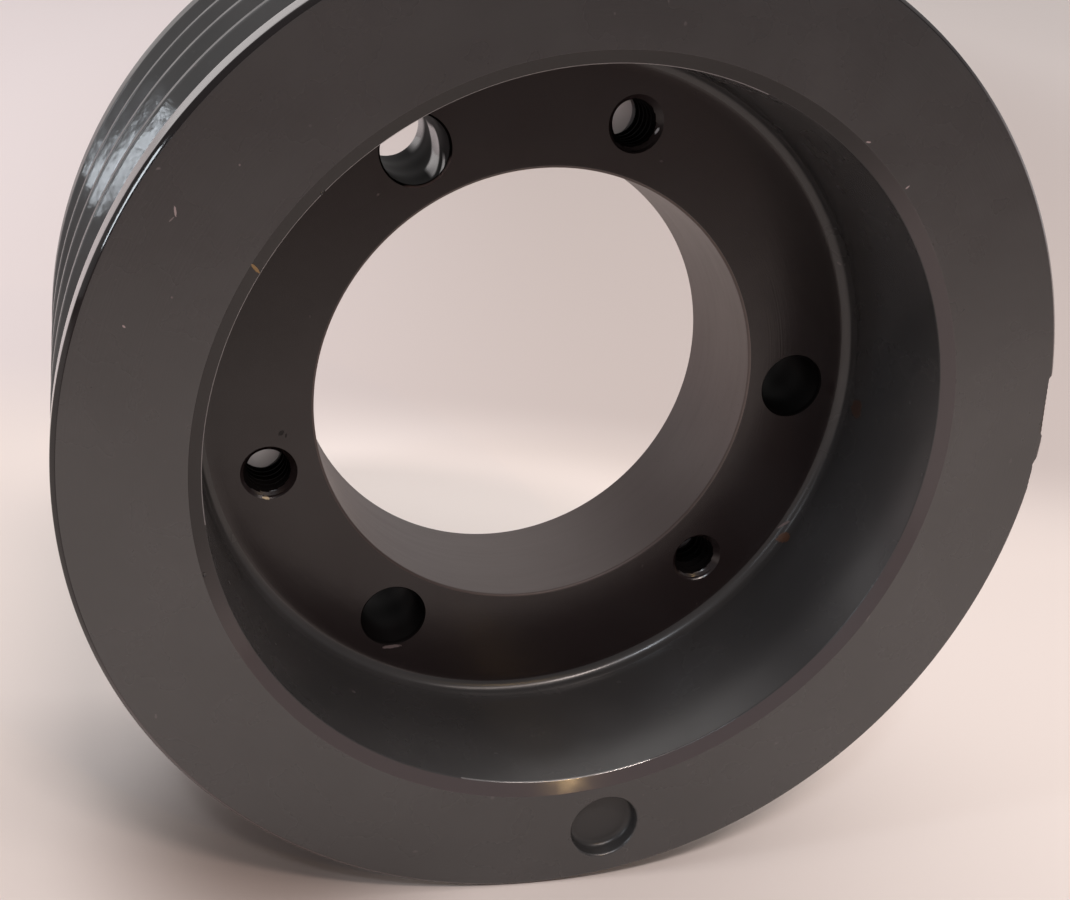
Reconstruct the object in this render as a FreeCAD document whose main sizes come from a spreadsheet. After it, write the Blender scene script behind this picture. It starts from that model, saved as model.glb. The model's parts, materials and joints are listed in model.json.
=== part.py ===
"""Four-groove narrow V-belt sheave for a split taper bushing, as a parametric FreeCAD document.

The real thing is one grey-iron casting. It is drawn here as the regions a pattern maker would
name: hub, web, rim, front flange, rear flange and the three lands between the belt grooves. Each
region is a body of its own, and neighbours meet face to face without overlapping.

Frame: millimetres, +Z up, axle along Y, origin at the middle of the wheel. The deep recess and
the large end of the taper bore face -Y. Every body is drawn with y = 0 on the front face of the
rim and y = rim_width on the rear face, and its Placement then centres it.
"""

import FreeCAD, Part
import os
import Sketcher

# Driving dimensions: alias, value in millimetres (angles in degrees), note.
DRIVING = [
    ("outside_diameter", 114.3, "over the belt lands, 4.50 in"),
    ("rim_width", 48.42, "four grooves, 1 29/32 in"),
    ("corner_break", 0.5, "45 degree break on both outer corners of the rim"),
    ("groove_pitch", 10.319, "13/32 in between groove centres"),
    ("groove_edge", 8.731, "11/32 in from a rim face to the nearest groove centre"),
    ("groove_top_width", 8.89, "0.350 in at the outside diameter"),
    ("groove_depth", 8.64, "0.340 in from the outside diameter to the root"),
    ("groove_angle", 38.0, "included angle of a narrow groove at this diameter"),
    ("mouth_radius", 43.85, "recess lip on either rim face"),
    ("wall_radius", 42.4, "recess wall just behind the lip"),
    ("lip_depth", 1.0, "axial depth of the lip chamfer"),
    ("seat_radius", 42.0, "recess wall where the web meets it, after the draft"),
    ("web_fillet", 1.7, "casting fillet between web and recess wall"),
    ("front_recess", 21.2, "rim face to the front face of web and hub"),
    ("hub_length", 17.1, "length through the taper bore"),
    ("hub_radius", 39.5, "edge of the machined hub face"),
    ("bore_diameter", 55.5625, "large end of the taper bore, 2 3/16 in"),
    ("bore_taper", 0.0625, "loss of bore diameter per length, 3/4 in per foot"),
    ("bore_break", 0.15, "broken edge at both ends of the taper bore"),
    ("bolt_circle", 68.2625, "2 11/16 in, shared by drilled and tapped holes"),
    ("drilled_diameter", 7.94, "clearance for the quarter-inch cap screws"),
    ("drilled_break", 0.25, "broken edge of a drilled hole at the front"),
    ("drilled_exit_break", 0.6, "broken edge where the drill came out at the rear"),
    ("drilled_angle", 3.8, "first drilled hole, from +X towards +Z"),
    ("tapped_diameter", 5.11, "tap drill of the 1/4-20 jack screw holes"),
    ("tapped_break", 0.85, "countersink of a tapped hole"),
    ("tapped_depth", 8.2, "front face of the hub to the end of the thread"),
    ("relief_diameter", 6.53, "clearance bore behind the thread, 0.257 in"),
    ("relief_break", 0.25, "broken edge of the clearance bore at the rear"),
    ("tapped_angle", 78.8, "first tapped hole, 75 degrees on from a drilled one"),
    ("balance_radius", 49.9, "middle of the balance hole from the axle"),
    ("balance_angle", -79.2, "balance hole, from +X towards +Z"),
    ("balance_diameter", 8.5, "cutter diameter of the balance hole"),
    ("balance_depth", 2.0, "depth of the balance hole"),
]

# Sizes worked out in the sheet. Radii are from the axle, depths from the front rim face.
DERIVED = [
    ("outer_radius", "outside_diameter / 2"),
    ("corner_radius", "outer_radius - corner_break"),
    ("root_radius", "outer_radius - groove_depth"),
    ("half_top", "groove_top_width / 2"),
    ("half_root", "half_top - groove_depth * tan(groove_angle * 1deg / 2)"),
    ("front_land_end", "groove_edge - half_top"),
    ("front_root_end", "groove_edge - half_root"),
    ("rear_land_end", "rim_width - front_land_end"),
    ("rear_root_end", "rim_width - front_root_end"),
    ("rear_corner", "rim_width - corner_break"),
    ("rear_lip", "rim_width - lip_depth"),
    ("web_front", "front_recess"),
    ("web_rear", "front_recess + hub_length"),
    ("seat_front", "web_front - web_fillet"),
    ("seat_rear", "web_rear + web_fillet"),
    ("fillet_start", "seat_radius - web_fillet"),
    ("draft", "wall_radius - seat_radius"),
    ("front_wall_length", "seat_front - lip_depth"),
    ("rear_wall_length", "rear_lip - seat_rear"),
    ("front_split_radius", "wall_radius - draft * (front_root_end - lip_depth) / front_wall_length"),
    ("rear_split_radius", "wall_radius - draft * (front_root_end - lip_depth) / rear_wall_length"),
    ("bore_large", "bore_diameter / 2"),
    ("bore_small", "bore_large - bore_taper * hub_length / 2"),
    ("bore_mouth", "bore_large + bore_break"),
    ("bore_exit", "bore_small + bore_break"),
    ("bore_start", "web_front + bore_break"),
    ("bore_end", "web_rear - bore_break"),
    ("bolt_radius", "bolt_circle / 2"),
    ("drilled_wall", "bolt_radius + drilled_diameter / 2"),
    ("drilled_mouth", "drilled_wall + drilled_break"),
    ("drilled_start", "web_front + drilled_break"),
    ("drilled_exit", "drilled_wall + drilled_exit_break"),
    ("drilled_end", "web_rear - drilled_exit_break"),
    ("tapped_wall", "bolt_radius + tapped_diameter / 2"),
    ("tapped_mouth", "tapped_wall + tapped_break"),
    ("tapped_start", "web_front + tapped_break"),
    ("tapped_end", "web_front + tapped_depth"),
    ("relief_wall", "bolt_radius + relief_diameter / 2"),
    ("relief_exit", "relief_wall + relief_break"),
    ("relief_end", "web_rear - relief_break"),
    ("balance_edge", "balance_radius + balance_diameter / 2"),
]
HOLES_PER_PATTERN = 3
LAND_COUNT = 3
LARGEST_VOLUME_ERROR = 0.02  # share of a pattern's volume

document = FreeCAD.newDocument("sheave")
nodes = []


def land_cells():
    """Name the four corner depths of each land between two grooves."""
    cells = []
    for number in range(1, LAND_COUNT + 1):
        ahead = f"groove_edge + {number - 1} * groove_pitch"
        behind = f"groove_edge + {number} * groove_pitch"
        cells += [
            (f"land_{number}_foot_front", f"{ahead} + half_root"),
            (f"land_{number}_top_front", f"{ahead} + half_top"),
            (f"land_{number}_top_rear", f"{behind} - half_top"),
            (f"land_{number}_foot_rear", f"{behind} - half_root"),
        ]
    return cells


def make_sheet():
    """Fill the spreadsheet: plain numbers first, then the sizes that follow from them."""
    cells = document.addObject("Spreadsheet::Sheet", "dims")
    for row, (alias, value, note) in enumerate(DRIVING, start=1):
        cells.set(f"A{row}", alias)
        cells.set(f"B{row}", str(value))
        cells.set(f"C{row}", note)
        cells.setAlias(f"B{row}", alias)
    for row, (alias, formula) in enumerate(DERIVED + land_cells(), start=len(DRIVING) + 1):
        cells.set(f"A{row}", alias)
        cells.set(f"B{row}", "=" + formula)
        cells.setAlias(f"B{row}", alias)
    document.recompute()
    return cells


def make_body(name):
    """Start a body whose own y = 0 is the front face of the rim."""
    body = document.addObject("PartDesign::Body", name)
    body.Label = name
    body.setExpression("Placement.Base.y", "-dims.rim_width / 2")
    nodes.append(body)
    return body


def origin_feature(body, role):
    return next(item for item in body.Origin.OriginFeatures if item.Role == role)


def point(corner):
    """Where a corner, a pair of sheet aliases or 0, lies on the sketch."""
    radius, depth = (sheet.get(alias) if alias else 0.0 for alias in corner)
    return FreeCAD.Vector(float(radius), float(depth), 0)


def hollow_quarter(start, end):
    """Quarter circle whose centre lies inwards of the outer end, for a fillet in a recess."""
    outer = max(start, end, key=lambda place: place.x)
    middle = FreeCAD.Vector(min(start.x, end.x), outer.y, 0)
    bulge = (start + end) / 2 - middle
    halfway = middle + bulge * ((start - middle).Length / bulge.Length)
    return Part.Arc(end, halfway, start)


def outline(body, name, corners, fillets=()):
    """Draw a closed counter-clockwise outline on the XY plane, x the radius and y the depth.

    Each corner is a pair of sheet aliases, or 0 on an axis. The sides numbered in fillets are
    hollow quarter circles of the web fillet's radius, drawn from the far corner back.
    """
    sketch = body.newObject("Sketcher::SketchObject", name)
    sketch.AttachmentSupport = (origin_feature(body, "XY_Plane"), [""])
    sketch.MapMode = "FlatFace"
    count = len(corners)
    near_end = [2 if side in fillets else 1 for side in range(count)]
    for side in range(count):
        start, end = point(corners[side]), point(corners[(side + 1) % count])
        edge = hollow_quarter(start, end) if side in fillets else Part.LineSegment(start, end)
        sketch.addGeometry(edge, False)
    for side in range(count):
        after = (side + 1) % count
        join = Sketcher.Constraint("Coincident", side, 3 - near_end[side], after, near_end[after])
        sketch.addConstraint(join)
    for side, corner in enumerate(corners):
        bind_corner(sketch, side, near_end[side], corner)
    for side in fillets:
        radius = sketch.Geometry[side].Radius
        number = sketch.addConstraint(Sketcher.Constraint("Radius", side, radius))
        sketch.setExpression(f"Constraints[{number}]", "dims.web_fillet")
    return sketch


def bind_corner(sketch, side, end, corner):
    """Tie one corner's radius and depth to the sheet."""
    radius, depth = corner
    place = point(corner)
    for kind, alias, value in (("DistanceX", radius, place.x), ("DistanceY", depth, place.y)):
        if alias:
            number = sketch.addConstraint(Sketcher.Constraint(kind, -1, 1, side, end, value))
            sketch.setExpression(f"Constraints[{number}]", f"dims.{alias}")
        else:
            sketch.addConstraint(Sketcher.Constraint("PointOnObject", side, end, -1))


def revolve(body, sketch):
    """Turn an outline once round the axle."""
    ring = body.newObject("PartDesign::Revolution", body.Name + "_turned")
    ring.Profile = sketch
    ring.ReferenceAxis = (sketch, ["V_Axis"])
    ring.Angle = 360
    document.recompute()


def bore_out(body, name, corners, centre, angle, count):
    """Cut a turned hole parallel to the axle, repeat it round the axle and check its volume.

    centre and angle are the sheet aliases of its distance from the axle and its bearing.
    """
    sketch = outline(body, name + "_outline", corners)
    axle = FreeCAD.Vector(0, 1, 0)
    bearing = FreeCAD.Rotation(axle, -sheet.get(angle))
    sketch.AttachmentOffset = FreeCAD.Placement(FreeCAD.Vector(), bearing)
    sketch.setExpression("AttachmentOffset.Rotation.Yaw", "0")
    sketch.setExpression("AttachmentOffset.Rotation.Roll", "0")
    sketch.setExpression("AttachmentOffset.Rotation.Pitch", f"-dims.{angle}")
    low, high = point((centre, corners[0][1])), point((centre, corners[-1][1]))
    line = sketch.addGeometry(Part.LineSegment(low, high), True)
    bind_corner(sketch, line, 1, (centre, corners[0][1]))
    bind_corner(sketch, line, 2, (centre, corners[-1][1]))
    document.recompute()
    whole = body.Shape.Volume
    hole = body.newObject("PartDesign::Groove", name)
    hole.Profile = sketch
    hole.ReferenceAxis = (sketch, ["Axis0"])
    hole.Angle = 360
    document.recompute()
    one = whole - body.Shape.Volume
    if count > 1:
        pattern = body.newObject("PartDesign::PolarPattern", name + "_pattern")
        pattern.Originals = [hole]
        pattern.Axis = (origin_feature(body, "Y_Axis"), [""])
        pattern.Angle = 360
        pattern.Occurrences = count
        body.Tip = pattern
        document.recompute()
    removed = whole - body.Shape.Volume
    if one <= 0 or abs(removed - count * one) > LARGEST_VOLUME_ERROR * removed:
        raise RuntimeError(f"{name} cut {removed:.1f} mm3 where {count * one:.1f} was due")
    print(f"{name:16s} {removed:10.1f} mm3 cut")


def make_hub():
    """Disc round the taper bore, with three drilled and three tapped through holes."""
    body = make_body("hub")
    section = [
        ("bore_mouth", "web_front"),
        ("hub_radius", "web_front"),
        ("hub_radius", "web_rear"),
        ("bore_exit", "web_rear"),
        ("bore_small", "bore_end"),
        ("bore_large", "bore_start"),
    ]
    revolve(body, outline(body, "hub_section", section))
    drilled = [
        ("bolt_radius", "web_front"),
        ("drilled_mouth", "web_front"),
        ("drilled_wall", "drilled_start"),
        ("drilled_wall", "drilled_end"),
        ("drilled_exit", "web_rear"),
        ("bolt_radius", "web_rear"),
    ]
    bore_out(body, "drilled_hole", drilled, "bolt_radius", "drilled_angle", HOLES_PER_PATTERN)
    tapped = [
        ("bolt_radius", "web_front"),
        ("tapped_mouth", "web_front"),
        ("tapped_wall", "tapped_start"),
        ("tapped_wall", "tapped_end"),
        ("relief_wall", "tapped_end"),
        ("relief_wall", "relief_end"),
        ("relief_exit", "web_rear"),
        ("bolt_radius", "web_rear"),
    ]
    bore_out(body, "tapped_hole", tapped, "bolt_radius", "tapped_angle", HOLES_PER_PATTERN)


def make_web():
    """Ring that carries the hub in the rim, with a casting fillet on both sides."""
    body = make_body("web")
    section = [
        ("hub_radius", "web_front"),
        ("fillet_start", "web_front"),
        ("seat_radius", "seat_front"),
        ("seat_radius", "seat_rear"),
        ("fillet_start", "web_rear"),
        ("hub_radius", "web_rear"),
    ]
    revolve(body, outline(body, "web_section", section, fillets=(1, 3)))


def make_rim():
    """Tube under the belt grooves, between the two flanges."""
    body = make_body("rim")
    section = [
        ("front_split_radius", "front_root_end"),
        ("root_radius", "front_root_end"),
        ("root_radius", "rear_root_end"),
        ("rear_split_radius", "rear_root_end"),
        ("seat_radius", "seat_rear"),
        ("seat_radius", "seat_front"),
    ]
    revolve(body, outline(body, "rim_section", section))


def make_front_flange():
    """Front end of the rim: recess lip, rim face, end land and the outer groove's front wall."""
    body = make_body("front_flange")
    section = [
        ("mouth_radius", 0),
        ("corner_radius", 0),
        ("outer_radius", "corner_break"),
        ("outer_radius", "front_land_end"),
        ("root_radius", "front_root_end"),
        ("front_split_radius", "front_root_end"),
        ("wall_radius", "lip_depth"),
    ]
    revolve(body, outline(body, "front_flange_section", section))
    pocket = [
        ("balance_radius", 0),
        ("balance_edge", 0),
        ("balance_edge", "balance_depth"),
        ("balance_radius", "balance_depth"),
    ]
    bore_out(body, "balance_hole", pocket, "balance_radius", "balance_angle", 1)


def make_rear_flange():
    """Rear end of the rim, the front flange's mirror image without the balance hole."""
    body = make_body("rear_flange")
    section = [
        ("rear_split_radius", "rear_root_end"),
        ("root_radius", "rear_root_end"),
        ("outer_radius", "rear_land_end"),
        ("outer_radius", "rear_corner"),
        ("corner_radius", "rim_width"),
        ("mouth_radius", "rim_width"),
        ("wall_radius", "rear_lip"),
    ]
    revolve(body, outline(body, "rear_flange_section", section))


def make_land(number):
    """Ridge between groove number and the next, with a sloping belt wall on each side."""
    body = make_body(f"groove_land_{number}")
    section = [
        ("root_radius", f"land_{number}_foot_front"),
        ("outer_radius", f"land_{number}_top_front"),
        ("outer_radius", f"land_{number}_top_rear"),
        ("root_radius", f"land_{number}_foot_rear"),
    ]
    revolve(body, outline(body, f"land_{number}_section", section))


def check_document():
    """Stop if any object failed or any node's shape is unusable."""
    document.recompute()
    failed = [
        item.Name
        for item in document.Objects
        if "Invalid" in item.State or "Error" in item.State
    ]
    if failed:
        raise RuntimeError("failed objects: " + ", ".join(failed))
    for body in nodes:
        shape = body.Shape
        if shape.isNull() or not shape.isValid() or len(shape.Solids) != 1:
            raise RuntimeError(body.Label + " is not one valid solid")


def export():
    """Write each node to its own STEP file."""
    os.makedirs("parts", exist_ok=True)
    for body in nodes:
        box = body.Shape.BoundBox
        body.Shape.exportStep(f"parts/{body.Label}.step")
        print(f"{body.Label:16s} {body.Shape.Volume:10.1f} mm3  y {box.YMin:7.2f} to {box.YMax:7.2f}")


sheet = make_sheet()
make_front_flange()
make_rim()
for land in range(1, LAND_COUNT + 1):
    make_land(land)
make_rear_flange()
make_web()
make_hub()
check_document()
export()
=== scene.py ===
"""Looks of a four-groove narrow V-belt sheave: painted grey iron with a bare taper bore.

Every region of the casting gets a finely turned mesh with the rounded edges, holes, threads and
handling damage of the real part, and rides on the frame's one body. Metres, +Z up, axle along Y.
"""

import json
import math

import bmesh
import bpy
from mathutils import Matrix, Quaternion, Vector


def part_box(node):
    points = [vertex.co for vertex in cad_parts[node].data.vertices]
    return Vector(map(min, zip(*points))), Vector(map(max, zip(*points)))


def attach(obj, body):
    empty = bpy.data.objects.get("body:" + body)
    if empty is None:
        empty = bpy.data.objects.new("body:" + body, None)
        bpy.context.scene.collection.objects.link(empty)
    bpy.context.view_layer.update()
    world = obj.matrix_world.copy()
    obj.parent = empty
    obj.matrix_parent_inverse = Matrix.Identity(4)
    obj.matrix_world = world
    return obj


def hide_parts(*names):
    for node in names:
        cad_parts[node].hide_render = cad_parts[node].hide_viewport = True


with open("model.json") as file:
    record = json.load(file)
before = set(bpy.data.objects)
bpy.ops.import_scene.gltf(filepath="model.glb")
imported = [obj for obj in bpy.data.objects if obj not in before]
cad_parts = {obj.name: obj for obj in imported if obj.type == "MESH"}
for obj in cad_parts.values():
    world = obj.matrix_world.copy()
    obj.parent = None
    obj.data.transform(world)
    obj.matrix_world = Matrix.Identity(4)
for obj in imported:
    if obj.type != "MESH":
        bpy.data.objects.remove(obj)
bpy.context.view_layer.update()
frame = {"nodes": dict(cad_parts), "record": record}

MM = 0.001
BODY = "root"

# ---------------------------------------------------------------- sizes from the frame
record_mounts = {mount["name"]: mount for mount in frame["record"]["mounts"]}
hub_low, hub_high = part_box("hub")
web_low, web_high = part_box("web")
rim_low, rim_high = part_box("rim")
front_low, front_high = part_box("front_flange")

OUTER = front_high.z  # radius over the lands
FRONT = front_low.y
REAR = -FRONT
ROOT = rim_high.z  # radius at the bottom of a groove
ROOT_END = front_high.y  # where the front flange's groove wall meets the root
HUB_RADIUS = hub_high.z
WEB_FRONT = hub_low.y
WEB_REAR = hub_high.y
SEAT = web_high.z  # recess wall where the web meets it
WEB_FILLET = WEB_FRONT - web_low.y
BOLT_RADIUS = record_mounts["drilled_bolts"]["dims"]["pcd_mm"] / 2 * MM
DRILLED_RADIUS = record_mounts["drilled_bolts"]["dims"]["hole_r_mm"] * MM
THREAD_MINOR = record_mounts["tapped_bolts"]["dims"]["hole_r_mm"] * MM

# ---------------------------------------------------------------- sizes the frame does not name
GROOVE_SLOPE = math.radians(19)  # half of the included groove angle
LIP_WIDTH = 1.45 * MM
LIP_DEPTH = 1.0 * MM
WALL = 42.4 * MM  # recess wall just behind the lip
CORNER = 0.5 * MM  # break on the outer corners
BORE_LARGE = 27.781 * MM
BORE_TAPER = 1 / 32  # loss of radius per length
BORE_ROUND = 0.35 * MM
EDGE_ROUND = 0.26 * MM  # paint over a machined edge
LIP_ROUND = 0.22 * MM
LAND_ROUND = 0.3 * MM
ROOT_FILLET = 0.4 * MM
THREAD_MAJOR = 3.175 * MM
THREAD_PITCH = 1.27 * MM
THREAD_END = WEB_FRONT + 8.2 * MM
RELIEF_RADIUS = 3.265 * MM  # clearance bore behind the thread
RELIEF_BREAK = 0.25 * MM
TAPPED_SINK = 0.85 * MM
DRILLED_BREAK = 0.25 * MM
DRILLED_EXIT_BREAK = 0.6 * MM
DRILLED_ANGLE = 3.8  # degrees from +X towards +Z
TAPPED_ANGLE = 78.8
HOLES_PER_PATTERN = 3
BALANCE_RADIUS = 49.9 * MM
BALANCE_ANGLE = -79.2
BALANCE_HOLE = 4.25 * MM
BALANCE_DEPTH = 2.0 * MM
FACE_RINGS = (1.8 * MM, 1.1 * MM)  # extra rings on a rim face, in from the outer radius
LAND_RINGS = (0.2, 0.35, 0.5, 0.65, 0.8)  # extra rings along an end land, as shares of it
LAND_END = 4.4 * MM  # depth by which an end land and its corner have ended
LIP_LINE = (0.14 * MM, 0.15 * MM)  # radial and axial reach of the line where lip meets wall
KNOCKED_BAND = 1.3 * MM  # how far in from the outer radius the knocked land can lie
THREAD_PAINT_START = 0.7 * MM  # depth at which the countersink's paint ends
BREAK_STRETCH = 1.6  # length of a hole's edge break over its width
RELIEF_CONE = 0.3 * MM  # cone from the thread to the clearance bore
COLUMNS = 720  # columns round the axle
CLEARANCE = 2 * MM  # how far a cutter runs past the face that it cuts


# ---------------------------------------------------------------- mesh helpers
def polar(radius, depth, degrees):
    """Point at that radius, axial place and bearing from +X towards +Z."""
    turn = math.radians(degrees)
    return Vector((radius * math.cos(turn), depth, radius * math.sin(turn)))


def rounded(corners):
    """Replace each (radius, depth, rounding) corner of a closed outline by an arc."""
    points = []
    count = len(corners)
    for index, (radius, depth, rounding) in enumerate(corners):
        here = Vector((radius, depth))
        before = (Vector(corners[index - 1][:2]) - here).normalized()
        after = (Vector(corners[(index + 1) % count][:2]) - here).normalized()
        turn = math.pi - before.angle(after)
        if not rounding or turn < 0.01:
            arc = [here]
        else:
            reach = rounding * math.tan(turn / 2)
            middle = here + (before + after).normalized() * (rounding / math.cos(turn / 2))
            start = here + before * reach - middle
            sweep = start.angle_signed(here + after * reach - middle)
            steps = max(3, round(math.degrees(turn) / 12))
            arc = [middle + turned(start, -sweep * step / steps) for step in range(steps + 1)]
        for point in arc:
            if not points or (point - points[-1]).length > 1e-7:
                points.append(point)
    if (points[0] - points[-1]).length < 1e-7:
        points.pop()
    return points


def turned(vector, angle):
    cosine, sine = math.cos(angle), math.sin(angle)
    return Vector((vector.x * cosine - vector.y * sine, vector.x * sine + vector.y * cosine))


def mesh_object(name, vertices, faces):
    mesh = bpy.data.meshes.new(name)
    mesh.from_pydata(vertices, [], faces)
    made = bpy.data.objects.new(name, mesh)
    bpy.context.scene.collection.objects.link(made)
    solid = bmesh.new()
    solid.from_mesh(mesh)
    bmesh.ops.recalc_face_normals(solid, faces=solid.faces)
    solid.to_mesh(mesh)
    solid.free()
    return made


def lathe(name, outline, bearings):
    """Turn a closed outline of (radius, depth) points round the axle."""
    rows, columns = len(outline), len(bearings)
    vertices = [polar(p.x, p.y, bearing) for bearing in bearings for p in outline]
    faces = [
        (
            column * rows + row,
            column * rows + (row + 1) % rows,
            (column + 1) % columns * rows + (row + 1) % rows,
            (column + 1) % columns * rows + row,
        )
        for column in range(columns)
        for row in range(rows)
    ]
    return mesh_object(name, vertices, faces)


def even_bearings():
    return [360 * column / COLUMNS for column in range(COLUMNS)]


def plug(name, sections, centre, sides=64, wobble=None):
    """Cutter parallel to the axle, made of (radius, depth) sections about a centre point."""
    rows = len(sections)
    vertices = []
    for side in range(sides):
        turn = 2 * math.pi * side / sides
        for radius, depth in sections:
            size = radius + (wobble(turn, depth) if wobble else 0)
            vertices.append((centre.x + size * math.cos(turn), depth, centre.z + size * math.sin(turn)))
    faces = []
    for side in range(sides):
        after = (side + 1) % sides
        for row in range(rows - 1):
            low, high = side * rows + row, after * rows + row
            faces.append((low, low + 1, high + 1, high))
    faces.append(tuple(side * rows for side in range(sides)))
    faces.append(tuple(side * rows + rows - 1 for side in range(sides)))
    return mesh_object(name, vertices, faces)


def cut(target, cutters):
    """Take the cutters out of the target for good."""
    for cutter in cutters:
        saw = target.modifiers.new(cutter.name, "BOOLEAN")
        saw.operation = "DIFFERENCE"
        saw.solver = "EXACT"
        saw.object = cutter
    graph = bpy.context.evaluated_depsgraph_get()
    carved = bpy.data.meshes.new_from_object(target.evaluated_get(graph))
    target.modifiers.clear()
    old = target.data
    target.data = carved
    bpy.data.meshes.remove(old)
    for cutter in cutters:
        data = cutter.data
        bpy.data.objects.remove(cutter)
        bpy.data.meshes.remove(data)


def finish_piece(piece, node, material=None):
    """Shade a piece, give it its material and let it stand for its CAD node."""
    piece.data.shade_smooth()
    piece.data.set_sharp_from_angle(angle=math.radians(34))
    weights = piece.modifiers.new("flat_faces_lead", "WEIGHTED_NORMAL")
    weights.keep_sharp = True
    weights.weight = 60
    if material:
        piece.data.materials.clear()
        piece.data.materials.append(material)
    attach(piece, BODY)
    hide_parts(node)
    return piece


# ---------------------------------------------------------------- outlines of the regions
def flange_outline(side, web_seat):
    """Outline of a flange; side is -1 at the front and +1 at the rear."""
    face = side * REAR
    foot = side * (-ROOT_END)
    land_end = foot + side * (OUTER - ROOT) * math.tan(GROOVE_SLOPE)
    spread = ROOT_FILLET * math.tan((math.pi / 2 - GROOVE_SLOPE) / 2)
    share = (abs(face - foot) - LIP_DEPTH) / (abs(face - web_seat) - LIP_DEPTH)
    split = WALL + (SEAT - WALL) * share
    land = abs(land_end - face) - CORNER
    return rounded([
        (WALL + LIP_WIDTH, face, LIP_ROUND),
        *((OUTER - ring, face, 0) for ring in FACE_RINGS),
        (OUTER - CORNER, face, EDGE_ROUND),
        (OUTER, face - side * CORNER, EDGE_ROUND),
        *((OUTER, face - side * (CORNER + land * ring), 0) for ring in LAND_RINGS),
        (OUTER, land_end, LAND_ROUND),
        (ROOT, foot, ROOT_FILLET),
        (ROOT, foot - side * spread, 0),
        (ROOT, foot, 0),
        (split, foot, 0),
        (WALL, face - side * LIP_DEPTH, LIP_ROUND),
    ])


def land_outline(node):
    low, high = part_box(node)
    rise = (OUTER - ROOT) * math.tan(GROOVE_SLOPE)
    spread = ROOT_FILLET * math.tan((math.pi / 2 - GROOVE_SLOPE) / 2)
    return rounded([
        (ROOT, low.y - spread, 0),
        (ROOT, low.y, ROOT_FILLET),
        (OUTER, low.y + rise, LAND_ROUND),
        (OUTER, high.y - rise, LAND_ROUND),
        (ROOT, high.y, ROOT_FILLET),
        (ROOT, high.y + spread, 0),
    ])


def rim_outline():
    split_share = (ROOT_END - FRONT - LIP_DEPTH) / (web_low.y - FRONT - LIP_DEPTH)
    rear_share = (ROOT_END - FRONT - LIP_DEPTH) / (REAR - web_high.y - LIP_DEPTH)
    return rounded([
        (WALL + (SEAT - WALL) * split_share, rim_low.y, 0),
        (ROOT, rim_low.y, 0),
        (ROOT, rim_high.y, 0),
        (WALL + (SEAT - WALL) * rear_share, rim_high.y, 0),
        (SEAT, web_high.y, 0),
        (SEAT, web_low.y, 0),
    ])


def web_outline():
    return rounded([
        (HUB_RADIUS, WEB_FRONT, 0),
        (SEAT, WEB_FRONT, WEB_FILLET),
        (SEAT, web_low.y, 0),
        (SEAT, web_high.y, 0),
        (SEAT, WEB_REAR, WEB_FILLET),
        (HUB_RADIUS, WEB_REAR, 0),
    ])


def hub_outline():
    small = BORE_LARGE - BORE_TAPER * (WEB_REAR - WEB_FRONT)
    return rounded([
        (BORE_LARGE, WEB_FRONT, BORE_ROUND),
        (HUB_RADIUS, WEB_FRONT, 0),
        (HUB_RADIUS, WEB_REAR, 0),
        (small, WEB_REAR, BORE_ROUND),
    ])


# ---------------------------------------------------------------- holes
def drilled_centre(number):
    return polar(BOLT_RADIUS, 0, DRILLED_ANGLE + number * 360 / HOLES_PER_PATTERN)


def tapped_centre(number):
    return polar(BOLT_RADIUS, 0, TAPPED_ANGLE + number * 360 / HOLES_PER_PATTERN)


def drilled_cutter(number):
    """Clearance hole, slightly wavy along its length, with softly broken edges."""
    steps = 60
    flares = [(share, (1 - share) ** 2) for share in (0, 0.15, 0.35, 0.6, 1)]
    entry, leave = BREAK_STRETCH * DRILLED_BREAK, BREAK_STRETCH * DRILLED_EXIT_BREAK
    start, end = WEB_FRONT + entry, WEB_REAR - leave
    sections = [
        (DRILLED_RADIUS + 2 * DRILLED_BREAK, WEB_FRONT - CLEARANCE),
        *((DRILLED_RADIUS + DRILLED_BREAK * flare, WEB_FRONT + entry * share) for share, flare in flares),
        *((DRILLED_RADIUS, start + (end - start) * step / steps) for step in range(1, steps)),
        *(
            (DRILLED_RADIUS + DRILLED_EXIT_BREAK * flare, WEB_REAR - leave * share)
            for share, flare in reversed(flares)
        ),
        (DRILLED_RADIUS + 2 * DRILLED_EXIT_BREAK, WEB_REAR + CLEARANCE),
    ]

    def waves(turn, depth):
        return 0.03 * MM * math.sin((depth - WEB_FRONT) / MM * 1.1 + 0.6 * math.sin(turn + number))

    return plug(f"drilled_{number}", sections, drilled_centre(number), 96, waves)


def thread_radius(place):
    """Radius of the internal thread at a place along one pitch, from 0 to 1."""
    crest, flank = 0.25, 0.3125
    if place < crest:
        return THREAD_MINOR
    if place < crest + flank:
        return THREAD_MINOR + (THREAD_MAJOR - THREAD_MINOR) * (place - crest) / flank
    if place < 1 - flank:
        return THREAD_MAJOR
    return THREAD_MAJOR - (THREAD_MAJOR - THREAD_MINOR) * (place - 1 + flank) / flank


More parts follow.
